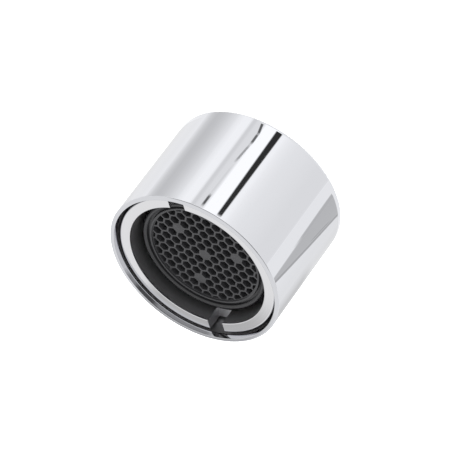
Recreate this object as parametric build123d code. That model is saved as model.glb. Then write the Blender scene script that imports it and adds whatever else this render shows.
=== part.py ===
from build123d import *

import os
from math import sqrt

# Tap aerator of the tamper-proof kind: a threaded body is turned by a key in two slots at its outlet,
# inside a smooth sleeve that turns freely. An insert in the body filters the water, splits it into jets,
# mixes it with air and straightens it in a honeycomb.
# The frame has Z along the axis, from the inlet rim at zero up to the outlet, and X through the key slots.
# All sizes are in millimetres.

# Tap thread, left uncut: the bore is its nominal diameter
thread_diameter = 22.0
thread_length = 5.6
thread_lead_in = 0.4
thread_relief = 0.3
thread_runout = 0.2

# Threaded body
body_wall = 0.85
body_shoulder_cover = 0.6
body_shoulder_step = 0.45
outlet_ring_width = 1.46
outlet_ring_depth = 0.8
outlet_ring_chamfer = 0.08
outlet_ring_bevel = 0.3
key_slot_width = 2.3
key_slot_depth = 2.6
seat_ledge_width = 0.56

# Sleeve
sleeve_height = 17.25
sleeve_wall = 0.55
sleeve_run = 0.1
sleeve_mouth_gap = 0.25
sleeve_mouth_flare = 0.3
sleeve_edge_chamfer = 0.18
sleeve_inlet_chamfer = 0.25
mouth_notch_width = 2.1
mouth_notch_drop = 0.7
mouth_notch_wall = 0.5

# Split ring between body and sleeve
snap_width = 1.25
snap_seat = 0.7
snap_thickness = 0.7
snap_below_slots = 1.35
snap_run = 0.15
snap_slack = 0.1
snap_open_angle = 36.0

# Sealing washer
washer_thickness = 2.0
washer_clearance = 0.1
washer_width = 2.9

# Insert jacket
flange_clearance = 0.1
flange_thickness = 2.0
flange_rim = 1.5
air_gap = 0.92
jacket_wall = 0.53
jacket_length = 5.05
jacket_rim_chamfer = 0.16
jacket_lip_width = 0.32
jacket_lip_height = 0.55
jacket_lip_depth = 0.6
window_count = 8
window_width = 3.4
window_height = 1.2
window_lift = 0.3

# Pieces that drop into the jacket
drop_in_clearance = 0.07

# Inlet filter
filter_flange = 0.5
filter_shell = 0.7
filter_rise = 1.85
filter_tip_radius = 4.6
filter_washer_gap = 0.2
filter_slot_width = 0.7
filter_slot_margin = 0.5
filter_side_slots = 20
filter_tip_slots = 8
filter_hub_radius = 1.2

# Jet plate
jet_plate_thickness = 0.7
jet_diameter = 1.0
jet_edge_margin = 1.9
jet_ring_step = 1.6
outer_jet_count = 14
inner_jet_count = 7

# Mixing screens and the ring between them
screen_thickness = 0.35
screen_pitch = 1.6
screen_wire = 0.5
screen_rim = 0.7
spacer_thickness = 0.4
spacer_width = 0.6

# Honeycomb outlet
comb_pitch = 1.44
comb_web = 0.25
comb_depth = 1.3
comb_face_drop = 0.25
comb_ring_width = 0.26
comb_ring_drop = 0.2
comb_edge_land = 0.1
comb_angle = 5.65
comb_smallest_share = 0.2
comb_post_length = 0.4

# How near an edge has to be to the place where it is looked for
edge_tolerance = 1e-4

# Radii, from the thread outwards to the sleeve and then inwards to the honeycomb
thread_radius = thread_diameter / 2
relief_radius = thread_radius + thread_relief
body_radius = thread_radius + body_wall
sleeve_bore = body_radius + sleeve_run
sleeve_radius = sleeve_bore + sleeve_wall
ring_outer = body_radius - body_shoulder_step
ring_inner = ring_outer - outlet_ring_width
sleeve_mouth = ring_outer + sleeve_mouth_gap
notch_reach = sleeve_radius - mouth_notch_wall
snap_inner = ring_outer - snap_seat
snap_outer = snap_inner + snap_width
seat_radius = ring_inner + seat_ledge_width
flange_radius = seat_radius - flange_clearance
recess_radius = flange_radius - flange_rim
disc_radius = recess_radius - drop_in_clearance
jacket_radius = ring_inner - air_gap
jacket_bore = jacket_radius - jacket_wall
drop_in_radius = jacket_bore - drop_in_clearance
lip_bore = jacket_bore - jacket_lip_width
comb_boss = lip_bore - drop_in_clearance
comb_field = comb_boss - comb_ring_width
washer_outer = relief_radius - washer_clearance
washer_inner = washer_outer - washer_width
filter_dome = washer_inner - filter_washer_gap
outer_jet_circle = jacket_bore - jet_edge_margin
inner_jet_circle = outer_jet_circle - jet_ring_step

# Heights, from the inlet rim upwards
thread_end = thread_length - thread_runout
washer_seat = thread_length + washer_thickness
filter_tip = washer_seat - filter_rise
jet_plate_floor = washer_seat + filter_flange
recess_floor = jet_plate_floor + jet_plate_thickness
ledge = washer_seat + flange_thickness
jacket_top = ledge + jacket_length
lip_top = jacket_top - jacket_lip_depth
lip_floor = lip_top - jacket_lip_height
comb_ring_top = jacket_top - comb_ring_drop
comb_face = comb_ring_top - comb_face_drop
comb_back = comb_face - comb_depth
comb_foot = comb_back - comb_post_length
lower_screen_floor = comb_foot - screen_thickness
spacer_floor = lower_screen_floor - spacer_thickness
upper_screen_floor = spacer_floor - screen_thickness
body_shoulder = washer_seat + body_shoulder_cover
body_top = sleeve_height - outlet_ring_depth
slot_floor = body_top - key_slot_depth
snap_height = slot_floor - snap_below_slots
snap_half = snap_thickness / 2 + snap_slack
snap_groove = (snap_height - snap_half, snap_height + snap_half)


def turned(*points):
    """Solid turned about Z from an outline of radius and height pairs."""
    return revolve(Plane.XZ * Polygon(*points, align=None), Axis.Z)


def ring(inner, outer, floor, top):
    """Plain ring between two radii and two heights."""
    return turned((inner, floor), (outer, floor), (outer, top), (inner, top))


def rim_edges(part, radius, height):
    """Circular edges of one radius at one height."""
    circles = part.edges().filter_by(GeomType.CIRCLE)
    level = circles.filter_by_position(Axis.Z, height - edge_tolerance, height + edge_tolerance)
    return level.filter_by(lambda edge: abs(edge.radius - radius) < edge_tolerance)


def make_threaded_body():
    """Body with the tap bore, the seat for the insert, the groove for the split ring and the key slots."""
    slot_align = (Align.CENTER, Align.CENTER, Align.MAX)
    body = turned(
        (thread_radius + thread_lead_in, 0),
        (body_radius, 0),
        (body_radius, body_shoulder),
        (ring_outer, body_shoulder),
        (ring_outer, body_top),
        (ring_inner, body_top),
        (ring_inner, ledge),
        (seat_radius, ledge),
        (seat_radius, washer_seat),
        (relief_radius, washer_seat),
        (relief_radius, thread_end),
        (thread_radius, thread_end),
        (thread_radius, thread_lead_in),
    )
    body = chamfer(rim_edges(body, ring_inner, body_top), outlet_ring_chamfer)
    body = chamfer(rim_edges(body, ring_outer, body_top), outlet_ring_bevel)
    body -= ring(snap_inner - snap_slack, body_radius, *snap_groove)
    key_slot = Box(2 * body_radius, key_slot_width, key_slot_depth, align=slot_align)
    return body - Pos(0, 0, body_top) * key_slot


def make_outer_sleeve():
    """Smooth sleeve, stepped inside to clear the body's shoulder, with a groove and two notches in its mouth."""
    step = body_shoulder + sleeve_run
    lip = sleeve_mouth + sleeve_mouth_flare
    sleeve = turned(
        (sleeve_bore, 0),
        (sleeve_radius, 0),
        (sleeve_radius, sleeve_height),
        (lip, sleeve_height),
        (sleeve_mouth, body_top),
        (sleeve_mouth, step),
        (sleeve_bore, step),
    )
    sleeve = chamfer(rim_edges(sleeve, sleeve_radius, sleeve_height), sleeve_edge_chamfer)
    sleeve = chamfer(rim_edges(sleeve, sleeve_radius, 0), sleeve_inlet_chamfer)
    sleeve -= ring(ring_outer, snap_outer + snap_run, *snap_groove)
    notch_align = (Align.CENTER, Align.CENTER, Align.MIN)
    notch = Box(2 * notch_reach, mouth_notch_width, sleeve_height, align=notch_align)
    return sleeve - Pos(0, 0, body_top - mouth_notch_drop) * notch


def make_snap_ring():
    """Split spring ring, partly in the body's groove and partly in the sleeve's."""
    section = Plane.XZ * Pos((snap_inner + snap_outer) / 2, snap_height) * Rectangle(snap_width, snap_thickness)
    return Rot(0, 0, snap_open_angle / 2) * revolve(section, Axis.Z, 360 - snap_open_angle)


def make_sealing_washer():
    """Flat washer that the spout presses against the insert and the body."""
    return ring(washer_inner, washer_outer, thread_length, washer_seat)


def make_inlet_filter():
    """Strainer: a slotted cone closed by a slotted tip, on a flange that lies under the washer."""
    strainer = turned(
        (0, filter_tip),
        (filter_tip_radius, filter_tip),
        (filter_dome, washer_seat),
        (disc_radius, washer_seat),
        (disc_radius, jet_plate_floor),
        (filter_dome - filter_shell, jet_plate_floor),
        (filter_tip_radius - filter_shell, filter_tip + filter_shell),
        (0, filter_tip + filter_shell),
    )
    side_length = filter_dome - filter_shell - filter_tip_radius - filter_slot_margin
    side_middle = filter_tip_radius + (side_length + filter_slot_margin) / 2
    tip_length = filter_tip_radius - filter_shell - filter_slot_margin - filter_hub_radius
    tip_middle = filter_hub_radius + tip_length / 2
    depth = 2 * filter_rise
    side_slot = Box(side_length, filter_slot_width, depth)
    tip_slot = Box(tip_length, filter_slot_width, depth)
    at_tip = Pos(0, 0, filter_tip)
    strainer -= at_tip * PolarLocations(side_middle, filter_side_slots) * side_slot
    return strainer - at_tip * PolarLocations(tip_middle, filter_tip_slots) * tip_slot


def make_jet_plate():
    """Disc with two rings of small holes that split the water into jets."""
    plate = Circle(disc_radius)
    plate -= PolarLocations(outer_jet_circle, outer_jet_count) * Circle(jet_diameter / 2)
    plate -= PolarLocations(inner_jet_circle, inner_jet_count) * Circle(jet_diameter / 2)
    return Pos(0, 0, jet_plate_floor) * extrude(plate, jet_plate_thickness)


def make_insert_jacket():
    """Barrel with the seating flange, the air windows and the lip that holds the honeycomb back."""
    jacket = turned(
        (recess_radius, washer_seat),
        (flange_radius, washer_seat),
        (flange_radius, ledge),
        (jacket_radius, ledge),
        (jacket_radius, jacket_top),
        (jacket_bore, jacket_top),
        (jacket_bore, lip_top),
        (lip_bore, lip_top),
        (lip_bore, lip_floor),
        (jacket_bore, lip_floor),
        (jacket_bore, recess_floor),
        (recess_radius, recess_floor),
    )
    rims = rim_edges(jacket, jacket_radius, jacket_top) + rim_edges(jacket, jacket_bore, jacket_top)
    jacket = chamfer(rims, jacket_rim_chamfer)
    window = Box(4 * jacket_wall, window_width, window_height, align=(Align.CENTER, Align.CENTER, Align.MIN))
    wall_middle = (jacket_bore + jacket_radius) / 2
    return jacket - Pos(0, 0, ledge + window_lift) * PolarLocations(wall_middle, window_count) * window


def make_screen(floor):
    """Mixing screen: a disc with square openings and a plain rim."""
    opening = screen_pitch - screen_wire
    reach = drop_in_radius - screen_rim - opening / sqrt(2)
    count = 2 * int(drop_in_radius / screen_pitch) + 1
    places = [p for p in GridLocations(screen_pitch, screen_pitch, count, count) if p.position.length < reach]
    mesh = Circle(drop_in_radius) - [place * Rectangle(opening, opening) for place in places]
    return Pos(0, 0, floor) * extrude(mesh, screen_thickness)


def make_screen_spacer():
    """Ring between the two screens."""
    return ring(drop_in_radius - spacer_width, drop_in_radius, spacer_floor, lower_screen_floor)


def comb_points():
    """Places of the honeycomb's cells, and whether each is closed by a post."""
    reach = int(comb_field / comb_pitch) + 2
    for i in range(-reach, reach + 1):
        for j in range(-reach, reach + 1):
            along = comb_pitch * (i + j / 2)
            across = comb_pitch * j * sqrt(3) / 2
            yield Rot(0, 0, comb_angle) * Pos(along, across), (i, j) in ((0, 0), (2, 2), (-4, 2), (2, -4))


def make_honeycomb_outlet():
    """Honeycomb plate with a raised ring round its face and a post behind each closed cell."""
    plate = turned(
        (0, comb_back),
        (comb_field, comb_back),
        (comb_field, comb_foot),
        (drop_in_radius, comb_foot),
        (drop_in_radius, lip_floor),
        (comb_boss, lip_floor),
        (comb_boss, comb_ring_top),
        (comb_field, comb_ring_top),
        (comb_field, comb_face),
        (0, comb_face),
    )
    cell = RegularPolygon((comb_pitch - comb_web) / 2, 6, major_radius=False, rotation=30)
    post = extrude(RegularPolygon(comb_pitch / 2, 6, major_radius=False, rotation=30), comb_post_length)
    field = Circle(comb_field - comb_edge_land)
    holes = []
    for place, closed in comb_points():
        if closed:
            plate += Pos(0, 0, comb_foot) * place * post
            continue
        hole = place * cell & field
        if hole and hole.area > comb_smallest_share * cell.area:
            holes.append(Pos(0, 0, comb_back) * extrude(hole, comb_depth))
    return plate - holes


pieces = {
    "outer_sleeve": make_outer_sleeve(),
    "threaded_body": make_threaded_body(),
    "snap_ring": make_snap_ring(),
    "sealing_washer": make_sealing_washer(),
    "inlet_filter": make_inlet_filter(),
    "jet_plate": make_jet_plate(),
    "insert_jacket": make_insert_jacket(),
    "upper_screen": make_screen(upper_screen_floor),
    "screen_spacer": make_screen_spacer(),
    "lower_screen": make_screen(lower_screen_floor),
    "honeycomb_outlet": make_honeycomb_outlet(),
}

os.makedirs("parts", exist_ok=True)
for name, piece in pieces.items():
    export_step(piece, f"parts/{name}.step")
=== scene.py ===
"""Tap aerator: a smooth chromed sleeve over a slotted threaded body, with a black honeycomb insert."""

from math import cos, pi, radians, sin, tan

import bmesh
import bpy
from bpy.props import FloatProperty, FloatVectorProperty, IntProperty, PointerProperty
from mathutils import Matrix, Vector


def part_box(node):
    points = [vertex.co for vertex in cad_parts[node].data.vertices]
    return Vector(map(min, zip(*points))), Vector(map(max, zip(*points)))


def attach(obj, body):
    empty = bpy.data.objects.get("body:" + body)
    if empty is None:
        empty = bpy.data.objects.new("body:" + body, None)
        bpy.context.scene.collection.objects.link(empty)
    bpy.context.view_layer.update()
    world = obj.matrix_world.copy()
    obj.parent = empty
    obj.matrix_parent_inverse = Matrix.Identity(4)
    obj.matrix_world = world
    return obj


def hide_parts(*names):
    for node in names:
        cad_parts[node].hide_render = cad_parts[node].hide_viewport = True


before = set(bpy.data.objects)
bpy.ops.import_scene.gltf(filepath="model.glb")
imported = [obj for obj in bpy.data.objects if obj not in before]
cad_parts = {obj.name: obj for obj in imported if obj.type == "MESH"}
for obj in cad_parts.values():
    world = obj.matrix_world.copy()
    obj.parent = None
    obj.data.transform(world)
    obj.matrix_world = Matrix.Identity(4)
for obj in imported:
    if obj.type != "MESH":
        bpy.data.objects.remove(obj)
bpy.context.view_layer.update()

bl_info = {
    "name": "Tap Aerator",
    "version": (1, 0, 0),
    "blender": (4, 5, 0),
    "location": "View3D > Sidebar > Aerator",
    "description": "Finishes the tap aerator in chrome, moulded plastic, rubber and wire, and lights it",
    "category": "Object",
}

MM = 0.001
BODY = "body"
SLEEVE = "sleeve"

# Vertices of a node that are closer than this are one point
SAME_POINT = 0.0001 * MM
# Edges that turn by more than this stay sharp in the shading
SHARP_TURN = radians(32)
# Triangles that lie in one plane to within this angle become one face
FLAT_TURN = radians(0.8)
# Points along one turn of the thread, along a screen's wire, round a wire and round a screen's rim
THREAD_POINTS = 96
WIRE_POINTS = 121
WIRE_SIDES = 6
RIM_POINTS = 128
# How far the thread's ridge stands in the wall of its bore
THREAD_BITE = 0.02 * MM
# The outlet ring is bright from its end face down to this many of its rounds
BRIGHT_ROUNDS = 1.1
# The slots' cutter reaches to this many of the body's radii
CUTTER_REACH = 1.2

# Most of a noise texture lies between these two values
NOISE_LOW, NOISE_HIGH = 0.3, 0.7
# Roughness of the chrome on inner faces, of the washer and of the floor
DULL_ROUGHNESS = 0.42
RUBBER_ROUGHNESS = 0.72
FLOOR_ROUGHNESS = 0.9
# Refraction of acetal
ACETAL_IOR = 1.48


def linear(code):
    """Linear colour with alpha from an sRGB hex value."""
    tones = [int(code[i:i + 2], 16) / 255 for i in (1, 3, 5)]
    return [t / 12.92 if t <= 0.04045 else ((t + 0.055) / 1.055) ** 2.4 for t in tones] + [1.0]


def size(name, description, default):
    """Length property in metres."""
    return FloatProperty(
        name=name, description=description, default=default, min=0, precision=5,
        subtype="DISTANCE", unit="LENGTH",
    )


def shift(name, description, default):
    """Property for a step in metres to either side."""
    return FloatProperty(name=name, description=description, default=default, subtype="DISTANCE")


def angle(name, description, degrees):
    """Angle property from degrees."""
    return FloatProperty(name=name, description=description, default=radians(degrees), subtype="ANGLE")


def amount(name, description, default, low=0, subtype="NONE"):
    """Property for a number that has a lowest value."""
    return FloatProperty(name=name, description=description, default=default, min=low, subtype=subtype)


def colour(name, description, code):
    """Colour property from an sRGB hex value."""
    return FloatVectorProperty(
        name=name, description=description, default=linear(code), size=4, min=0, max=1, subtype="COLOR"
    )


SLEEVE_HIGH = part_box("outer_sleeve")[1]
BODY_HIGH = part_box("threaded_body")[1]
SNAP_LOW, SNAP_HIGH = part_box("snap_ring")
FLANGE_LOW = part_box("insert_jacket")[0]


class AeratorChrome(bpy.types.PropertyGroup):
    """Sizes and colours of the sleeve and the threaded body."""

    sleeve_bore: size("Sleeve bore", "Radius of the sleeve's bore over the body", 11.95 * MM)
    sleeve_mouth: size("Sleeve mouth", "Radius of the sleeve round the outlet ring", 11.8 * MM)
    mouth_flare: size("Mouth flare", "How far the mouth widens at its lip", 0.08 * MM)
    flare_height: size("Flare height", "Height over which the mouth widens", 0.65 * MM)
    lip_round: size("Lip round", "Round on the lip's inner edge and under the flare", 0.04 * MM)
    edge_round: size("Edge round", "Round on the lip's outer edge", 0.2 * MM)
    inlet_round: size("Inlet edge", "Round on the sleeve's inlet edge", 0.2 * MM)
    step: size("Sleeve step", "Height at which the sleeve narrows over the body's shoulder", 8.3 * MM)
    snap_slack: size("Groove slack", "Room above and below the split ring in its grooves", 0.1 * MM)
    snap_run: size("Groove run", "Room outside the split ring in the sleeve's groove", 0.15 * MM)
    snap_seat: size("Groove depth", "How far the split ring stands in the body's groove", 0.7 * MM)
    shoulder: size("Body shoulder", "Height of the shoulder on the body", 8.2 * MM)
    ring_outer: size("Ring outer radius", "Outer radius of the outlet ring", 11.44 * MM)
    ring_inner: size("Ring inner radius", "Inner radius of the outlet ring", 9.94 * MM)
    ring_edge: size("Ring edge", "Round on the outlet ring's inner edge", 0.07 * MM)
    ring_round: size("Ring round", "Round on the outlet ring's outer edge", 0.2 * MM)
    seat: size("Seat radius", "Radius of the seat for the insert", 10.5 * MM)
    ledge: size("Seat ledge", "Height of the ledge that the insert stands under", 9.6 * MM)
    relief: size("Thread relief", "Radius of the groove above the thread", 11.3 * MM)
    thread: size("Thread radius", "Radius of the tap bore", 11.0 * MM)
    thread_end: size("Thread end", "Height at which the thread ends", 5.4 * MM)
    lead_in: size("Lead-in", "Chamfer at the mouth of the tap bore", 0.4 * MM)
    slot_width: size("Key slot width", "Width of the two key slots", 2.3 * MM)
    slot_depth: size("Key slot depth", "Depth of the two key slots", 2.6 * MM)
    steps: IntProperty(name="Turning steps", description="Faces round a turned piece", default=288, min=24)
    sleeve_colour: colour("Sleeve", "Chrome of the sleeve", "#D3D4D8")
    body_colour: colour("Body", "Chrome of the threaded body", "#DCDCDE")
    # Painted shade: the mouth's wall below its flare is coloured darker for the shade in that recess
    mouth_shade_colour: colour("Mouth", "Chrome on the mouth's wall below its flare", "#9C9DA2")
    dull_colour: colour("Inner faces", "Thin chrome on the inner faces", "#C4C4C6")


class AeratorThread(bpy.types.PropertyGroup):
    """Sizes of the tap thread."""

    pitch: size("Pitch", "Rise of the thread in one turn", 1.0 * MM)
    height: size("Thread height", "How far the thread stands into the bore", 0.54 * MM)
    root: size("Root width", "Width of the thread at the bore's wall", 0.84 * MM)
    crest: size("Crest width", "Width of the thread at its crest", 0.25 * MM)
    turns: amount("Turns", "Turns of the thread", 4.1, low=0.5)
    start: size("Thread start", "Height of the middle of the first turn", 0.85 * MM)


class AeratorInsert(bpy.types.PropertyGroup):
    """Sizes and colours of the insert, the washer and the split ring."""

    screen_pitch: size("Screen pitch", "Distance between the wires of a mixing screen", 0.7 * MM)
    screen_wire: size("Screen wire", "Thickness of the wires of a mixing screen", 0.17 * MM)
    screen_rim: size("Screen rim", "Width of the rim that binds a mixing screen", 0.7 * MM)
    comb_edge: size("Honeycomb edge", "Round on the edges of the honeycomb", 0.045 * MM)
    rim_edge: size("Jacket edge", "Round on the edges of the jacket", 0.06 * MM)
    moulded_edge: size("Moulded edge", "Round on the edges of the other moulded pieces", 0.05 * MM)
    rubber_edge: size("Washer edge", "Round on the edges of the sealing washer", 0.12 * MM)
    black: colour("Black acetal", "Jacket and screen spacer", "#2B2B2D")
    comb: colour("Honeycomb", "Honeycomb outlet", "#343436")
    natural: colour("Natural acetal", "Inlet filter and jet plate", "#DAD8D0")
    rubber: colour("Washer", "Sealing washer", "#232324")
    bloom: colour("Washer bloom", "Grey bloom on the sealing washer", "#3A3A3B")
    steel: colour("Stainless wire", "Mixing screens", "#C6C5C2")
    spring: colour("Spring steel", "Split ring", "#8F9094")


class AeratorStudio(bpy.types.PropertyGroup):
    """Camera and light."""

    azimuth: angle("Azimuth", "Camera's turn about the object", 50.65)
    elevation: angle("Elevation", "Camera's height above the horizon", 36.0)
    roll: angle("Roll", "Camera's turn about its own line of sight", -143.418)
    distance: size("Distance", "Camera's distance from the outlet's middle", 457.36 * MM)
    aim_right: shift("Aim right", "Camera's step to its right", 4.1005 * MM)
    aim_up: shift("Aim up", "Camera's step upwards", 5.9162 * MM)
    aim_height: size("Aim height", "Height of the point that the camera is set out from", 17.3 * MM)
    lens: amount("Lens", "Focal length in millimetres", 283.379, low=10)
    ambient: amount("Ambient", "Light from all round", 0.85)
    key_power: amount("Key lamp", "Power of the key lamp", 0.55, subtype="POWER")
    fill_power: amount("Fill lamp", "Power of the fill lamp", 0.3, subtype="POWER")
    floor_colour: colour("Floor", "Pale floor", "#F4F4F4")
    floor_glow: FloatProperty(
        name="Floor glow", description="Lift of the floor as the camera sees it", default=0.72
    )
    floor_mirrored: FloatProperty(
        name="Floor in chrome", description="Lift of the floor in mirrors", default=0.04
    )


def add_node(tree, kind, inputs=None, **settings):
    """New node with its settings, and its inputs set to values or linked to sockets."""
    node = tree.nodes.new(kind)
    for name, value in settings.items():
        setattr(node, name, value)
    for key, value in (inputs or {}).items():
        if isinstance(value, bpy.types.NodeSocket):
            tree.links.new(value, node.inputs[key])
        else:
            node.inputs[key].default_value = value
    return node


def made(tree, kind, inputs=None, **settings):
    """First output of a new node."""
    return add_node(tree, kind, inputs, **settings).outputs[0]


def maths(tree, operation, *values):
    """Socket with what an operation makes of values or sockets."""
    return made(tree, "ShaderNodeMath", dict(enumerate(values)), operation=operation)


def vector(tree, **axes):
    """Socket with a vector along the given axes."""
    return made(tree, "ShaderNodeCombineXYZ", axes)


def noise(tree, place, width, detail):
    """Socket with noise in patches about this wide."""
    return made(tree, "ShaderNodeTexNoise", {"Vector": place, "Scale": 1 / width, "Detail": detail})


def spread(tree, value, low, high):
    """Socket with noise taken to between two values."""
    return made(tree, "ShaderNodeMapRange", {
        "Value": value, "From Min": NOISE_LOW, "From Max": NOISE_HIGH, "To Min": low, "To Max": high,
    })


def blend(tree, share, first, second):
    """Socket with a colour between two."""
    # A Mix node's colours are its inputs 6 and 7 and its output 2, and its numbers its inputs 2 and 3
    return add_node(tree, "ShaderNodeMix", {0: share, 6: first, 7: second}, data_type="RGBA").outputs[2]


def bumped(tree, shader, height, strength, depth):
    """Gives a shader the relief of a height."""
    relief = made(tree, "ShaderNodeBump", {"Height": height, "Strength": strength, "Distance": depth})
    tree.links.new(relief, shader.inputs["Normal"])


def clouded(tree, shader, base, value, low, high):
    """Gives a shader its colour, lighter and darker with noise."""
    tone = made(tree, "ShaderNodeHueSaturation", {"Color": base, "Value": spread(tree, value, low, high)})
    tree.links.new(tone, shader.inputs["Base Color"])


def new_material(name, metallic=0.0):
    """Material with its tree, its shader and the piece's own coordinates."""
    material = bpy.data.materials.new(name)
    material.use_nodes = True
    tree = material.node_tree
    shader = tree.nodes["Principled BSDF"]
    shader.inputs["Metallic"].default_value = metallic
    return material, tree, shader, add_node(tree, "ShaderNodeTexCoord").outputs["Object"]


def turned_place(tree, place):
    """Sockets with the radius and the height of a place on a turned piece."""
    flat = made(tree, "ShaderNodeVectorMath", {0: place, 1: (1, 1, 0)}, operation="MULTIPLY")
    radius = add_node(tree, "ShaderNodeVectorMath", {0: flat}, operation="LENGTH")
    height = add_node(tree, "ShaderNodeSeparateXYZ", {0: place})
    return radius.outputs["Value"], height.outputs["Z"]


def dulled(tree, shader, inside, base, dull, rough):
    """Gives a shader its chrome, duller on the inner faces, where little chrome is thrown."""
    tree.links.new(blend(tree, inside, base, dull), shader.inputs["Base Color"])
    gloss = made(tree, "ShaderNodeMix", {0: inside, 2: rough, 3: DULL_ROUGHNESS}, data_type="FLOAT")
    tree.links.new(gloss, shader.inputs["Roughness"])


def bright_chrome(base, mouth, dull, bore, depth, lip):
    """Bright chrome on buffed brass: a mirror, with hardly seen lines from the buffing wheel."""
    material, tree, shader, place = new_material("bright_chrome_on_brass", 1.0)
    # Buffing lines a sixth of a millimetre apart, drawn coarser than real so that they show, and 25 mm long
    line, run = 0.17 * MM, 25 * MM
    along = made(tree, "ShaderNodeMapping", {"Vector": place, "Scale": (1 / run, 1 / run, 1 / line)})
    buffing = noise(tree, along, width=1.0, detail=3.0)
    bumped(tree, shader, buffing, strength=0.03, depth=0.002 * MM)
    # Soft clouds of haze about 4 mm wide
    rough = spread(tree, noise(tree, place, width=4 * MM, detail=2.0), low=0.025, high=0.05)
    # The mouth's wall below its flare gets a darker colour as painted shade, and the chrome is dull in the
    # bore below the ring's end face
    radius, height = turned_place(tree, place)
    within = maths(tree, "LESS_THAN", radius, bore)
    inside = maths(tree, "MULTIPLY", within, maths(tree, "LESS_THAN", height, depth))
    # Mask of the mouth's wall that takes the painted shade
    wall = maths(tree, "MULTIPLY", within, maths(tree, "LESS_THAN", height, lip))
    dulled(tree, shader, inside, blend(tree, wall, base, mouth), dull, rough)
    return material


def turned_chrome(base, dull, depth):
    """Bright chrome on turned brass: a mirror over the fine rings that the lathe tool left."""
    material, tree, shader, place = new_material("bright_chrome_on_turned_brass", 1.0)
    # Tool rings a quarter of a millimetre apart, drawn coarser than real so that they show
    ring = 0.25 * MM
    radius, height = turned_place(tree, place)
    tool = made(
        tree, "ShaderNodeTexNoise",
        {"W": maths(tree, "ADD", radius, height), "Scale": 1 / ring, "Detail": 2.0}, noise_dimensions="1D",
    )
    bumped(tree, shader, tool, strength=0.05, depth=0.004 * MM)
    # All but the end face is dull: the bore, the slots and the thread
    inside = maths(tree, "LESS_THAN", height, depth)
    dulled(tree, shader, inside, base, dull, spread(tree, tool, low=0.05, high=0.1))
    return material


def moulded_plastic(name, base, rough_low, rough_high, grain, depth):
    """Moulded plastic: an even colour, clouded by flow, over the fine grain of the mould's eroded steel."""
    material, tree, shader, place = new_material(name)
    shader.inputs["IOR"].default_value = ACETAL_IOR
    clouded(tree, shader, base, noise(tree, place, width=3 * MM, detail=3.0), low=0.93, high=1.07)
    eroded = noise(tree, place, width=grain, detail=2.0)
    tree.links.new(spread(tree, eroded, rough_low, rough_high), shader.inputs["Roughness"])
    bumped(tree, shader, eroded, strength=0.35, depth=depth)
    return material


def washer_rubber(base, bloom):
    """Moulded EPDM rubber: dull black, with a faint grey bloom and the matt skin of a blasted mould."""
    material, tree, shader, place = new_material("moulded_epdm_rubber")
    shader.inputs["Roughness"].default_value = RUBBER_ROUGHNESS
    tone = blend(tree, noise(tree, place, width=2 * MM, detail=5.0), base, bloom)
    tree.links.new(tone, shader.inputs["Base Color"])
    skin = noise(tree, place, width=0.12 * MM, detail=2.0)
    bumped(tree, shader, skin, strength=0.5, depth=0.01 * MM)
    return material


def drawn_steel(name, base, rough_low, rough_high):
    """Drawn steel wire: grey metal with a soft shine, stained in patches by the die's soap."""
    material, tree, shader, place = new_material(name, 1.0)
    stain = noise(tree, place, width=1.2 * MM, detail=4.0)
    clouded(tree, shader, base, stain, low=0.85, high=1.05)
    tree.links.new(spread(tree, stain, rough_high, rough_low), shader.inputs["Roughness"])
    return material


def rounded(corners, steps=8, guard=0.04 * MM):
    """Outline of radius and height pairs from corners with a round each, and a guard point beside each."""
    points = []
    for i, (r, z, round_size) in enumerate(corners):
        here = Vector((r, z))
        if not round_size:
            points.append(here)
            continue
        before = (Vector(corners[i - 1][:2]) - here).normalized()
        after = (Vector(corners[(i + 1) % len(corners)][:2]) - here).normalized()
        half = before.angle(after) / 2
        reach = round_size / tan(half)
        centre = here + (before + after).normalized() * (round_size / sin(half))
        first, last = here + before * reach - centre, here + after * reach - centre
        turn = first.angle_signed(last)
        points.append(centre + first + before * guard)
        for k in range(steps + 1):
            points.append(centre + Matrix.Rotation(-turn * k / steps, 2) @ first)
        points.append(centre + last + after * guard)
    return points


def shade(bm):
    """Smooth faces with sharp edges where they turn by more than a little."""
    for face in bm.faces:
        face.smooth = True
    for edge in bm.edges:
        edge.smooth = edge.is_manifold and edge.calc_face_angle() < SHARP_TURN


def add_object(name, data):
    """Object with its data, in the scene."""
    thing = bpy.data.objects.new(name, data)
    bpy.context.scene.collection.objects.link(thing)
    return thing


def add_piece(name, bm, material):
    """Object with the mesh and its material."""
    mesh = bpy.data.meshes.new(name)
    shade(bm)
    bm.to_mesh(mesh)
    bm.free()
    mesh.materials.append(material)
    return add_object(name, mesh)


def lathe(outline, steps):
    """Ring turned about Z from a closed outline of radius and height pairs."""
    bm = bmesh.new()
    rings = []
    for k in range(steps):
        turn = 2 * pi * k / steps
        rings.append([bm.verts.new((r * cos(turn), r * sin(turn), z)) for r, z in outline])
    for k, ring in enumerate(rings):
        after = rings[(k + 1) % steps]
        for i, vertex in enumerate(ring):
            j = (i + 1) % len(ring)
            bm.faces.new((vertex, ring[j], after[j], after[i]))
    bmesh.ops.recalc_face_normals(bm, faces=bm.faces)
    return bm


def modified(piece, modifier):
    """Mesh that a piece has with its modifier, which is then taken off."""
    depsgraph = bpy.context.evaluated_depsgraph_get()
    mesh = bpy.data.meshes.new_from_object(piece.evaluated_get(depsgraph))
    piece.modifiers.remove(modifier)
    return mesh


def cut(piece, cutter):
    """Takes the cutter's shape out of the piece and deletes the cutter."""
    modifier = piece.modifiers.new("cut", "BOOLEAN")
    modifier.operation, modifier.solver, modifier.object = "DIFFERENCE", "EXACT", cutter
    mesh = modified(piece, modifier)
    bpy.data.objects.remove(cutter)
    bm = bmesh.new()
    bm.from_mesh(mesh)
    shade(bm)
    bm.to_mesh(piece.data)
    bm.free()


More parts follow.
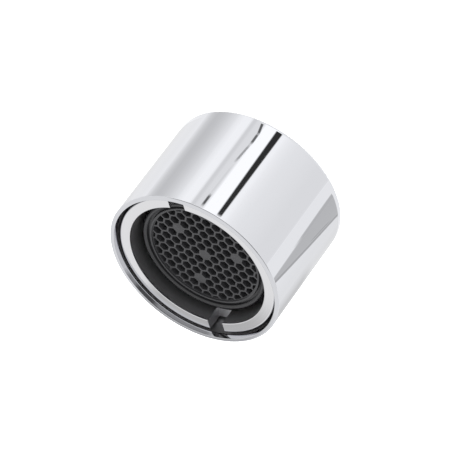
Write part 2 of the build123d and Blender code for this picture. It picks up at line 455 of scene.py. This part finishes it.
def box_cutter(low, high):
    """Box between two corners, for cutting."""
    bm = bmesh.new()
    bmesh.ops.create_cube(bm, size=1)
    middle, span = (Vector(low) + Vector(high)) / 2, Vector(high) - Vector(low)
    bmesh.ops.scale(bm, vec=span, verts=bm.verts)
    bmesh.ops.translate(bm, vec=middle, verts=bm.verts)
    mesh = bpy.data.meshes.new("cutter")
    bm.to_mesh(mesh)
    bm.free()
    return add_object("cutter", mesh)


def moulded_copy(node, edge, material, segments=2):
    """Copy of a node's mesh with its points merged and its edges rounded, in the node's place."""
    bm = bmesh.new()
    bm.from_mesh(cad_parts[node].data)
    bmesh.ops.remove_doubles(bm, verts=bm.verts, dist=SAME_POINT)
    bmesh.ops.dissolve_limit(bm, angle_limit=FLAT_TURN, verts=bm.verts, edges=bm.edges)
    sharp = [e for e in bm.edges if e.is_manifold and e.calc_face_angle() > SHARP_TURN]
    bmesh.ops.bevel(
        bm, geom=sharp, offset=edge, segments=segments, profile=0.5, affect="EDGES", clamp_overlap=True
    )
    return add_piece(f"{node}_finished", bm, material)


def settle(piece, body, slot, *nodes):
    """Hangs a finished piece on its body, in the place of its nodes."""
    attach(piece, body)
    if nodes:
        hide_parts(*nodes)


def new_tree(name, *numbers, counts=()):
    """Geometry Nodes tree with inputs for numbers, counts and a material, and its two end nodes."""
    tree = bpy.data.node_groups.new(name, "GeometryNodeTree")
    inputs = [(label, "NodeSocketFloat") for label in numbers]
    inputs += [(label, "NodeSocketInt") for label in counts]
    for label, kind in (*inputs, ("Material", "NodeSocketMaterial")):
        tree.interface.new_socket(label, in_out="INPUT", socket_type=kind)
    tree.interface.new_socket("Geometry", in_out="OUTPUT", socket_type="NodeSocketGeometry")
    return tree, add_node(tree, "NodeGroupInput").outputs, add_node(tree, "NodeGroupOutput").inputs


def close_tree(tree, given, out, shape, height):
    """Lifts the shape to its height, gives it the material and joins it to the tree's end."""
    placed = made(tree, "GeometryNodeTransform", {"Geometry": shape, "Translation": vector(tree, Z=height)})
    real = made(tree, "GeometryNodeRealizeInstances", {"Geometry": placed})
    finish = made(tree, "GeometryNodeSetMaterial", {"Geometry": real, "Material": given["Material"]})
    tree.links.new(finish, out["Geometry"])
    return tree


def grow(name, tree, **values):
    """Plain mesh object made by a Geometry Nodes tree with these input values."""
    piece = add_object(name, bpy.data.meshes.new(name))
    modifier = piece.modifiers.new(name, "NODES")
    modifier.node_group = tree
    for item in tree.interface.items_tree:
        if item.in_out == "INPUT":
            modifier[item.identifier] = values[item.name.lower()]
    mesh = modified(piece, modifier)
    bm = bmesh.new()
    bm.from_mesh(mesh)
    if not bm.faces:
        raise RuntimeError(f"the tree of {name} made no faces")
    bmesh.ops.recalc_face_normals(bm, faces=bm.faces)
    shade(bm)
    bm.to_mesh(mesh)
    bm.free()
    piece.data = mesh
    return piece


def thread_tree():
    """Ridge with a tapered section that follows a helix."""
    tree, given, out = new_tree("tap_thread", "Radius", "Rise", "Turns", "Height", "Root", "Crest", "Start")
    helix = made(tree, "GeometryNodeCurveSpiral", {
        "Resolution": THREAD_POINTS, "Rotations": given["Turns"], "Start Radius": given["Radius"],
        "End Radius": given["Radius"], "Height": given["Rise"],
    })
    upright = made(tree, "GeometryNodeSetCurveNormal", {"Curve": helix}, mode="Z_UP")
    section = made(tree, "GeometryNodeCurvePrimitiveQuadrilateral", {
        "Height": given["Height"], "Bottom Width": given["Root"], "Top Width": given["Crest"], "Offset": 0.0,
    }, mode="TRAPEZOID")
    ridge = made(tree, "GeometryNodeCurveToMesh", {
        "Curve": upright, "Profile Curve": section, "Fill Caps": True,
    })
    return close_tree(tree, given, out, ridge, given["Start"])


def screen_tree():
    """Round of plain-woven wire cloth, bound by a flat rim."""
    tree, given, out = new_tree(
        "woven_screen", "Radius", "Pitch", "Wire", "Swing", "Rim", "Thickness", "Level", counts=("Wires",)
    )
    # Straight wires side by side, one way and across it
    line = made(tree, "GeometryNodeCurvePrimitiveLine", {
        "Start": vector(tree, X=maths(tree, "MULTIPLY", given["Radius"], -1.0)),
        "End": vector(tree, X=given["Radius"]),
    })
    fine = made(tree, "GeometryNodeResampleCurve", {"Curve": line, "Count": WIRE_POINTS})
    rows = maths(tree, "SUBTRACT", given["Wires"], 1.0)
    low = maths(tree, "MULTIPLY", maths(tree, "MULTIPLY", rows, given["Pitch"]), -0.5)
    places = made(tree, "GeometryNodeMeshLine", {
        "Count": given["Wires"], "Start Location": vector(tree, Y=low),
        "Offset": vector(tree, Y=given["Pitch"]),
    })
    copies = made(tree, "GeometryNodeInstanceOnPoints", {"Points": places, "Instance": fine})
    weft = made(tree, "GeometryNodeRealizeInstances", {"Geometry": copies})
    warp = made(tree, "GeometryNodeTransform", {"Geometry": weft, "Rotation": (0, 0, pi / 2)})
    # They swing over and under each other, and end in the middle of the rim
    where = made(tree, "GeometryNodeInputPosition")
    axes = add_node(tree, "ShaderNodeSeparateXYZ", {0: where}).outputs
    turns = maths(tree, "DIVIDE", maths(tree, "ADD", axes["X"], axes["Y"]), given["Pitch"])
    wave = maths(tree, "COSINE", maths(tree, "MULTIPLY", turns, pi))
    over = maths(tree, "MULTIPLY", wave, given["Swing"])
    under = maths(tree, "MULTIPLY", over, -1.0)
    distance = add_node(tree, "ShaderNodeVectorMath", {0: where}, operation="LENGTH").outputs["Value"]
    reach = maths(tree, "SUBTRACT", given["Radius"], maths(tree, "MULTIPLY", given["Rim"], 0.5))
    beyond = maths(tree, "GREATER_THAN", distance, reach)
    section = made(tree, "GeometryNodeCurvePrimitiveCircle", {
        "Resolution": WIRE_SIDES, "Radius": maths(tree, "MULTIPLY", given["Wire"], 0.5),
    })
    parts = []
    for wires, swing in ((weft, over), (warp, under)):
        kept = made(tree, "GeometryNodeDeleteGeometry", {"Geometry": wires, "Selection": beyond})
        bent = made(tree, "GeometryNodeSetPosition", {"Geometry": kept, "Offset": vector(tree, Z=swing)})
        parts.append(made(tree, "GeometryNodeCurveToMesh", {
            "Curve": bent, "Profile Curve": section, "Fill Caps": True,
        }))
    hoop = made(tree, "GeometryNodeCurvePrimitiveCircle", {"Resolution": RIM_POINTS, "Radius": reach})
    band = made(tree, "GeometryNodeCurvePrimitiveQuadrilateral", {
        "Width": given["Rim"], "Height": given["Thickness"],
    })
    parts.append(made(tree, "GeometryNodeCurveToMesh", {"Curve": hoop, "Profile Curve": band}))
    whole = add_node(tree, "GeometryNodeJoinGeometry")
    for part in parts:
        tree.links.new(part, whole.inputs[0])
    return close_tree(tree, given, out, whole.outputs[0], given["Level"])


class AERATOR_OT_sleeve(bpy.types.Operator):
    """Turns the smooth chromed sleeve"""

    bl_idname = "aerator.sleeve"
    bl_label = "Chromed Sleeve"

    def execute(self, context):
        p = context.scene.aerator_chrome
        outer, top = SLEEVE_HIGH.x, SLEEVE_HIGH.z
        groove = SNAP_HIGH.y + p.snap_run
        floor, roof = SNAP_LOW.z - p.snap_slack, SNAP_HIGH.z + p.snap_slack
        lip = top - p.flare_height
        outline = rounded([
            (p.sleeve_bore, 0, 0),
            (outer, 0, p.inlet_round),
            (outer, top, p.edge_round),
            (p.sleeve_mouth + p.mouth_flare, top, p.lip_round),
            (p.sleeve_mouth, lip, p.lip_round),
            (p.sleeve_mouth, roof, 0),
            (groove, roof, 0),
            (groove, floor, 0),
            (p.sleeve_mouth, floor, 0),
            (p.sleeve_mouth, p.step, 0),
            (p.sleeve_bore, p.step, 0),
        ])
        chrome = bright_chrome(
            p.sleeve_colour, p.mouth_shade_colour, p.dull_colour, p.sleeve_bore, BODY_HIGH.z, lip
        )
        piece = add_piece("sleeve_turned", lathe(outline, p.steps), chrome)
        settle(piece, SLEEVE, "chromed_sleeve", "outer_sleeve")
        return {"FINISHED"}


class AERATOR_OT_body(bpy.types.Operator):
    """Turns the threaded body, cuts its key slots and winds its tap thread"""

    bl_idname = "aerator.body"
    bl_label = "Threaded Body"

    def execute(self, context):
        p, t = context.scene.aerator_chrome, context.scene.aerator_thread
        outer, top = BODY_HIGH.x, BODY_HIGH.z
        snap_inner = p.ring_outer - p.snap_seat - p.snap_slack
        floor, roof = SNAP_LOW.z - p.snap_slack, SNAP_HIGH.z + p.snap_slack
        washer_top = FLANGE_LOW.z
        outline = rounded([
            (p.thread + p.lead_in, 0, 0),
            (outer, 0, 0),
            (outer, p.shoulder, 0),
            (p.ring_outer, p.shoulder, 0),
            (p.ring_outer, floor, 0),
            (snap_inner, floor, 0),
            (snap_inner, roof, 0),
            (p.ring_outer, roof, 0),
            (p.ring_outer, top, p.ring_round),
            (p.ring_inner, top, p.ring_edge),
            (p.ring_inner, p.ledge, 0),
            (p.seat, p.ledge, 0),
            (p.seat, washer_top, 0),
            (p.relief, washer_top, 0),
            (p.relief, p.thread_end, 0),
            (p.thread, p.thread_end, 0),
            (p.thread, p.lead_in, 0),
        ], steps=4)
        chrome = turned_chrome(p.body_colour, p.dull_colour, top - BRIGHT_ROUNDS * p.ring_round)
        piece = add_piece("body_turned", lathe(outline, p.steps), chrome)
        reach, half = CUTTER_REACH * outer, p.slot_width / 2
        cut(piece, box_cutter((-reach, -half, top - p.slot_depth), (reach, half, top + p.slot_depth)))
        settle(piece, BODY, "chromed_body", "threaded_body")
        wall = p.thread + THREAD_BITE
        thread = grow(
            "tap_thread", thread_tree(), radius=wall - t.height / 2, rise=t.pitch * t.turns, turns=t.turns,
            height=t.height, root=t.root, crest=t.crest, start=t.start, material=chrome,
        )
        settle(thread, BODY, "chromed_body")
        return {"FINISHED"}


class AERATOR_OT_split_ring(bpy.types.Operator):
    """Finishes the split ring that keeps the sleeve on"""

    bl_idname = "aerator.split_ring"
    bl_label = "Split Ring"

    def execute(self, context):
        p = context.scene.aerator_insert
        steel = drawn_steel("drawn_spring_steel", p.spring, rough_low=0.25, rough_high=0.4)
        settle(moulded_copy("snap_ring", p.moulded_edge, steel), BODY, "spring_steel", "snap_ring")
        return {"FINISHED"}


class AERATOR_OT_inlet(bpy.types.Operator):
    """Finishes the sealing washer, the inlet filter and the jet plate"""

    bl_idname = "aerator.inlet"
    bl_label = "Inlet Pieces"

    def execute(self, context):
        p = context.scene.aerator_insert
        rubber = washer_rubber(p.rubber, p.bloom)
        washer = moulded_copy("sealing_washer", p.rubber_edge, rubber, segments=4)
        settle(washer, BODY, "washer_rubber", "sealing_washer")
        acetal = moulded_plastic(
            "moulded_natural_acetal", p.natural, rough_low=0.36, rough_high=0.5,
            grain=0.14 * MM, depth=0.004 * MM,
        )
        for node, slot in (("inlet_filter", "filter_plastic"), ("jet_plate", "jet_plastic")):
            settle(moulded_copy(node, p.moulded_edge, acetal), BODY, slot, node)
        return {"FINISHED"}


class AERATOR_OT_screens(bpy.types.Operator):
    """Weaves the two mixing screens"""

    bl_idname = "aerator.screens"
    bl_label = "Mixing Screens"

    def execute(self, context):
        p = context.scene.aerator_insert
        steel = drawn_steel("drawn_stainless_wire", p.steel, rough_low=0.18, rough_high=0.32)
        tree = screen_tree()
        for node in ("upper_screen", "lower_screen"):
            low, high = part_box(node)
            thickness, radius = high.z - low.z, high.x
            piece = grow(
                f"{node}_woven", tree, radius=radius, pitch=p.screen_pitch,
                wires=2 * int(radius / p.screen_pitch) + 1, wire=p.screen_wire,
                swing=(thickness - p.screen_wire) / 2, rim=p.screen_rim, thickness=thickness,
                level=(low.z + high.z) / 2, material=steel,
            )
            settle(piece, BODY, "screen_steel", node)
        return {"FINISHED"}


class AERATOR_OT_jacket(bpy.types.Operator):
    """Finishes the insert's jacket and the ring between the screens"""

    bl_idname = "aerator.jacket"
    bl_label = "Insert Jacket"

    def execute(self, context):
        p = context.scene.aerator_insert
        acetal = moulded_plastic(
            "moulded_black_acetal", p.black, rough_low=0.3, rough_high=0.42,
            grain=0.12 * MM, depth=0.004 * MM,
        )
        jacket = moulded_copy("insert_jacket", p.rim_edge, acetal, segments=3)
        settle(jacket, BODY, "black_plastic", "insert_jacket")
        spacer = moulded_copy("screen_spacer", p.moulded_edge, acetal)
        settle(spacer, BODY, "black_plastic", "screen_spacer")
        return {"FINISHED"}


class AERATOR_OT_honeycomb(bpy.types.Operator):
    """Finishes the honeycomb outlet"""

    bl_idname = "aerator.honeycomb"
    bl_label = "Honeycomb Outlet"

    def execute(self, context):
        p = context.scene.aerator_insert
        acetal = moulded_plastic(
            "moulded_black_acetal_comb", p.comb, rough_low=0.34, rough_high=0.46,
            grain=0.1 * MM, depth=0.004 * MM,
        )
        comb = moulded_copy("honeycomb_outlet", p.comb_edge, acetal)
        settle(comb, BODY, "comb_plastic", "honeycomb_outlet")
        return {"FINISHED"}


# Height in millimetres at which the whole streaks end, the height that their cards run straight on to, so
# that the streaks are whole from lower down too, and the share of a shorter one over which it fades at its
# ends
STREAK_END = 18
CARD_END = 60
CARD_FADE = 0.25
# Heights of a whole streak, and the lean of a straight one
WHOLE = (0, STREAK_END)
STRAIGHT = (0, 0)
# Cards that lie on the floor round the object and show only as streaks along the chromed sleeve.
# Each has its level, where 1 is as bright as white, the heights on the sleeve in millimetres between which
# its streak runs, how far in degrees its two edges lean between them, and across the streak its angles in
# degrees from the camera, with how well it covers at each.
STREAKS = (
    ("pale_all", 1.17, WHOLE, STRAIGHT, ((-88, 1), (88, 1))),
    ("bright_left", 1.33, WHOLE, STRAIGHT, ((25.5, 0), (27, 1), (31, 1), (36, 0))),
    ("grey_left", 0.77, WHOLE, STRAIGHT,
     ((34.5, 0), (38, 0.3), (42, 0.65), (46, 0.9), (50, 1), (54, 0.75), (59, 0))),
    ("hair_left", 0.95, WHOLE, STRAIGHT,
     ((17.3, 0), (18.5, 0.4), (22.3, 0.5), (23.8, 1), (24.9, 1), (26, 0))),
    ("white_strip", 1.48, WHOLE, STRAIGHT, ((8, 0), (8.4, 1), (16.6, 1), (18, 0))),
    ("pale_right", 1.05, WHOLE, STRAIGHT, ((-34.7, 0), (-34.1, 1), (5.5, 1), (6, 0))),
    ("bright_right", 1.33, WHOLE, STRAIGHT,
     ((-24, 0), (-14, 0.2), (-6, 0.32), (-2, 0.5), (1, 0.7), (3.5, 1), (5.5, 1), (6, 0))),
    ("black_line", 0.04, WHOLE, (0.2, -1.2), ((5.3, 0), (6, 1), (9.3, 1), (10.1, 0))),
    ("wave_inlet", 0.15, (0, 1.9), (-1.9, -1.9), ((18.3, 0), (18.8, 1), (19.9, 1), (20.4, 0))),
    ("wave_low", 0.2, (1.4, 3.8), (-0.2, -0.2), ((16.8, 0), (17.3, 1), (18.4, 1), (18.9, 0))),
    ("wave_middle", 0.35, (3.3, 7.5), (1.3, 1.3), ((16.8, 0), (17.4, 0.8), (18.1, 0.8), (18.7, 0))),
    ("wave_upper", 0.9, (7.3, 14.8), (0.6, 0.6), ((18, 0), (18.7, 0.6), (19, 0.6), (19.6, 0))),
    ("wave_outlet", 0.15, (13.5, 16.2), STRAIGHT, ((17.9, 0), (18.5, 1), (19.5, 1), (20.1, 0))),
    ("strip_end", 1.4, (15.8, STREAK_END), STRAIGHT, ((4.4, 0), (5, 1), (9.6, 1), (10.2, 0))),
    ("edge_right", 0.85, WHOLE, STRAIGHT,
     ((-88, 1), (-84, 0.94), (-78, 0.81), (-74, 0.73), (-70, 0.56), (-66, 0.41), (-61, 0.33), (-54, 0.18),
      (-46, 0))),
    ("grey_right", 0.69, WHOLE, (12.7, -1.4), ((-60.3, 0), (-59.7, 1), (-44.4, 1), (-43.6, 0))),
    ("step_right", 0.66, (0, 10.5), (0, -1), ((-45.2, 0), (-44.6, 1), (-43, 1), (-42.2, 0))),
    ("line_right", 0.52, WHOLE, (12.7, 12.7), ((-60.7, 0), (-60.1, 1), (-59.5, 1), (-58.7, 0))),
    ("line_wedge", 0.55, (1.5, 7), (4, 4), ((-57.4, 0), (-57, 0.8), (-56.6, 0.8), (-56, 0))),
    ("shade_right", 0.68, (6.5, STREAK_END), STRAIGHT,
     ((-88, 0.3), (-84, 0.42), (-80, 0.9), (-78, 1), (-76, 0.85), (-74, 0.6), (-70, 0.28), (-65, 0))),
    ("shade_left", 0.9, WHOLE, STRAIGHT,
     ((60, 0), (64, 0.18), (70, 0.3), (74, 0.5), (80, 0.8), (88, 1))),
)
# Of these, the ones nearer to the camera's direction than this are laid again behind the object
BACK_ANGLE = 36
# How much higher each card lies than the one before, its widest face in degrees and its rows of faces
CARD_LIFT = 0.05 * MM
CARD_TURN = 3
CARD_ROWS = 12

# Cards that stand round the object and show only in the chrome of its mouth and its ring. Each has its level,
# the angles in degrees from the camera between which it stands, its distance, its heights, and the widths
# of its soft edges, in degrees and upwards.
UPRIGHTS = (
    ("camera_side", 0.45, (-62, 62), 150 * MM, (6 * MM, 110 * MM), 14, 12 * MM),
    ("photographer_low", 0.12, (-42, -18), 140 * MM, (20 * MM, 88 * MM), 10, 12 * MM),
    ("far_side", 0.58, (-182, -168), 60 * MM, (0, 56 * MM), 3, 5 * MM),
)

# Lamps, each with its angle from the camera and its height in degrees, its distance, its width and the
# property that holds its power
LAMPS = (
    ("key_lamp", 150, 55, 320 * MM, 260 * MM, "key_power"),
    ("fill_lamp", -60, 60, 320 * MM, 320 * MM, "fill_power"),
)
# Brightness of the sky to the camera and in mirrors
SKY_SEEN = 1.0
# Half the floor's width in metres, and how far it lies under the object
FLOOR_REACH = 1.5
FLOOR_DROP = 0.01 * MM
# Width of the camera's sensor in millimetres, and the distances in metres between which it sees
SENSOR_WIDTH = 36.0
SIGHT = (10 * MM, 10.0)


def card_material(level):
    """Lit card that fades out at its soft edges."""
    material = bpy.data.materials.new("studio_card")
    material.use_nodes = True
    tree = material.node_tree
    tree.nodes.clear()
    cover = add_node(tree, "ShaderNodeAttribute", attribute_name="cover").outputs["Fac"]
    clear = made(tree, "ShaderNodeBsdfTransparent")
    card = made(tree, "ShaderNodeEmission", {"Color": (level, level, level, 1.0), "Strength": 1.0})
    mix = made(tree, "ShaderNodeMixShader", {0: cover, 1: clear, 2: card})
    add_node(tree, "ShaderNodeOutputMaterial", {"Surface": mix})
    return material


def add_card(name, rows, covers, level):
    """Card through rows of points, with how well it covers at each of them, seen only in mirrors."""
    mesh = bpy.data.meshes.new(name)
    count = len(rows[0])
    faces = [
        (k * count + i, k * count + i + 1, (k + 1) * count + i + 1, (k + 1) * count + i)
        for k in range(len(rows) - 1) for i in range(count - 1)
    ]
    mesh.from_pydata([point for row in rows for point in row], [], faces)
    layer = mesh.attributes.new("cover", "FLOAT", "POINT")
    for i, value in enumerate(value for row in covers for value in row):
        layer.data[i].value = value
    mesh.materials.append(card_material(level))
    card = add_object(name, mesh)
    card.visible_camera = card.visible_diffuse = card.visible_shadow = card.visible_transmission = False


def fine_points(points, lean):
    """Start angle, end angle and cover of a card's points, close enough to follow the sleeve's round."""
    ends = [(turn, turn + lean[2 * j >= len(points)], cover) for j, (turn, cover) in enumerate(points)]
    fine = ends[:1]
    for before, after in zip(ends, ends[1:]):
        count = 1 + int((after[0] - before[0]) / CARD_TURN)
        for k in range(1, count + 1):
            fine.append(tuple(u + (v - u) * k / count for u, v in zip(before, after)))
    return fine


def streak_rows(low, high):
    """Share of a streak, height on the sleeve and cover for each row of its card."""
    for i in range(CARD_ROWS + 1):
        along = i / CARD_ROWS
        start = along / CARD_FADE if low > 0 else 1
        end = (1 - along) / CARD_FADE if high < STREAK_END else 1
        yield along, low + (high - low) * along, min(1, start, end)
    if high == STREAK_END:
        yield 1.0, CARD_END, 1


def seen_level(tree, other, straight, mirrored):
    """Socket with one level for the camera and rays through glass, one for mirrors and one for others."""
    path = add_node(tree, "ShaderNodeLightPath").outputs
    through = maths(tree, "MAXIMUM", path["Is Camera Ray"], path["Is Transmission Ray"])
    mirror = made(
        tree, "ShaderNodeMapRange", {"Value": path["Is Glossy Ray"], "To Min": other, "To Max": mirrored}
    )
    return made(tree, "ShaderNodeMapRange", {"Value": through, "To Min": mirror, "To Max": straight})


def towards(azimuth, elevation):
    """Direction from the object at a turn about it and a height above the horizon."""
    return Vector((sin(azimuth) * cos(elevation), -cos(azimuth) * cos(elevation), sin(elevation)))


class AERATOR_OT_studio(bpy.types.Operator):
    """Sets the pale floor, the light, the cards and the camera"""

    bl_idname = "aerator.studio"
    bl_label = "Studio"

    def execute(self, context):
        s = context.scene.aerator_studio
        context.scene.view_settings.view_transform = "Standard"
        self.light_world(context, s)
        self.lay_floor(s)
        self.hang_lamps(s)
        self.lay_streaks(s)
        self.stand_cards(s)
        self.place_camera(context, s)
        return {"FINISHED"}

    def light_world(self, context, s):
        world = bpy.data.worlds.new("studio_light")
        context.scene.world = world
        world.use_nodes = True
        tree = world.node_tree
        sky = tree.nodes["Background"]
        sky.inputs["Color"].default_value = (1, 1, 1, 1)
        tree.links.new(seen_level(tree, s.ambient, SKY_SEEN, SKY_SEEN), sky.inputs["Strength"])

    def lay_floor(self, s):
        # Pale paint: plain and matt, lifted to white where the camera sees it
        material, tree, shader, _ = new_material("pale_painted_floor")
        shader.inputs["Base Color"].default_value = s.floor_colour
        shader.inputs["Roughness"].default_value = FLOOR_ROUGHNESS
        shader.inputs["Emission Color"].default_value = (1, 1, 1, 1)
        glow = seen_level(tree, 0.0, s.floor_glow, s.floor_mirrored)
        tree.links.new(glow, shader.inputs["Emission Strength"])
        mesh = bpy.data.meshes.new("floor")
        signs = ((-1, -1), (1, -1), (1, 1), (-1, 1))
        corners = [(x * FLOOR_REACH, y * FLOOR_REACH, -FLOOR_DROP) for x, y in signs]
        mesh.from_pydata(corners, [], [(0, 1, 2, 3)])
        mesh.materials.append(material)
        floor = add_object("floor", mesh)

    def hang_lamps(self, s):
        for name, turn, height, reach, width, power in LAMPS:
            data = bpy.data.lights.new(name, "AREA")
            data.shape, data.size, data.energy = "DISK", width, getattr(s, power)
            lamp = add_object(name, data)
            back = towards(s.azimuth + radians(turn), radians(height))
            lamp.location = back * reach
            lamp.rotation_euler = back.to_track_quat("Z", "Y").to_euler()
            lamp.visible_glossy = False

    def lay_streaks(self, s):
        # The sleeve at angle f mirrors the floor along 2 f minus the camera's own angle, and a height on it
        # mirrors the floor at the height over the tangent of the camera's elevation
        camera = s.azimuth - pi / 2
        for side, turn in (("front", 0.0), ("back", pi)):
            for k, (name, level, (low, high), lean, points) in enumerate(STREAKS):
                if turn and max(abs(edge) for edge, _ in points) > BACK_ANGLE:
                    continue
                points = fine_points(points, lean)
                lift = Vector((0, 0, (k + 1) * CARD_LIFT))
                rows, covers = [], []
                for along, height, faded in streak_rows(low, high):
                    reach = height * MM / tan(s.elevation)
                    row = []
                    for start, end, _ in points:
                        f = camera + turn + radians(start + (end - start) * along)
                        mirrored = 2 * f - camera - turn
                        foot = Vector((cos(f), sin(f), 0)) * SLEEVE_HIGH.x
                        away = Vector((cos(mirrored), sin(mirrored), 0)) * reach
                        row.append(foot + away + lift)
                    rows.append(row)
                    covers.append([faded * cover for *_, cover in points])
                add_card(f"card_{name}_{side}", rows, covers, level)

    def stand_cards(self, s):
        camera = s.azimuth - pi / 2
        for name, level, (start, end), distance, (low, high), soft, rise in UPRIGHTS:
            points = fine_points(((start - soft, 0), (start, 1), (end, 1), (end + soft, 0)), STRAIGHT)
            turns = [camera + radians(turn) for turn, *_ in points]
            rows, covers = [], []
            for height, share in ((low - rise, 0), (low, 1), (high, 1), (high + rise, 0)):
                rows.append([(distance * cos(a), distance * sin(a), height) for a in turns])
                covers.append([share * cover for *_, cover in points])
            add_card(f"card_{name}", rows, covers, level)

    def place_camera(self, context, s):
        data = bpy.data.cameras.new("camera")
        data.lens, data.sensor_width = s.lens, SENSOR_WIDTH
        data.clip_start, data.clip_end = SIGHT
        camera = add_object("camera", data)
        back = towards(s.azimuth, s.elevation)
        level = Vector((cos(s.azimuth), sin(s.azimuth), 0))
        right = level * cos(s.roll) + back.cross(level) * sin(s.roll)
        up = back.cross(right)
        place = Vector((0, 0, s.aim_height)) + back * s.distance + right * s.aim_right + up * s.aim_up
        camera.matrix_world = Matrix((
            (right.x, up.x, back.x, place.x),
            (right.y, up.y, back.y, place.y),
            (right.z, up.z, back.z, place.z),
            (0, 0, 0, 1),
        ))
        context.scene.camera = camera


OPERATORS = (
    AERATOR_OT_sleeve, AERATOR_OT_body, AERATOR_OT_split_ring, AERATOR_OT_inlet, AERATOR_OT_screens,
    AERATOR_OT_jacket, AERATOR_OT_honeycomb, AERATOR_OT_studio,
)
GROUPS = {
    "aerator_chrome": AeratorChrome,
    "aerator_thread": AeratorThread,
    "aerator_insert": AeratorInsert,
    "aerator_studio": AeratorStudio,
}


class AERATOR_PT_panel(bpy.types.Panel):
    """Lists the pieces and their sizes and colours"""

    bl_idname = "AERATOR_PT_panel"
    bl_label = "Tap Aerator"
    bl_space_type = "VIEW_3D"
    bl_region_type = "UI"
    bl_category = "Aerator"

    def draw(self, context):
        for operator in OPERATORS:
            self.layout.operator(operator.bl_idname)
        for name, group in GROUPS.items():
            box = self.layout.box()
            for key in group.__annotations__:
                box.prop(getattr(context.scene, name), key)


def register():
    for cls in (*GROUPS.values(), *OPERATORS, AERATOR_PT_panel):
        bpy.utils.register_class(cls)
    for name, group in GROUPS.items():
        setattr(bpy.types.Scene, name, PointerProperty(type=group))


def unregister():
    for name in GROUPS:
        delattr(bpy.types.Scene, name)
    for cls in reversed((*GROUPS.values(), *OPERATORS, AERATOR_PT_panel)):
        bpy.utils.unregister_class(cls)


def main():
    register()
    for operator in OPERATORS:
        group, name = operator.bl_idname.split(".")
        getattr(getattr(bpy.ops, group), name)()


if __name__ == "__main__":
    main()
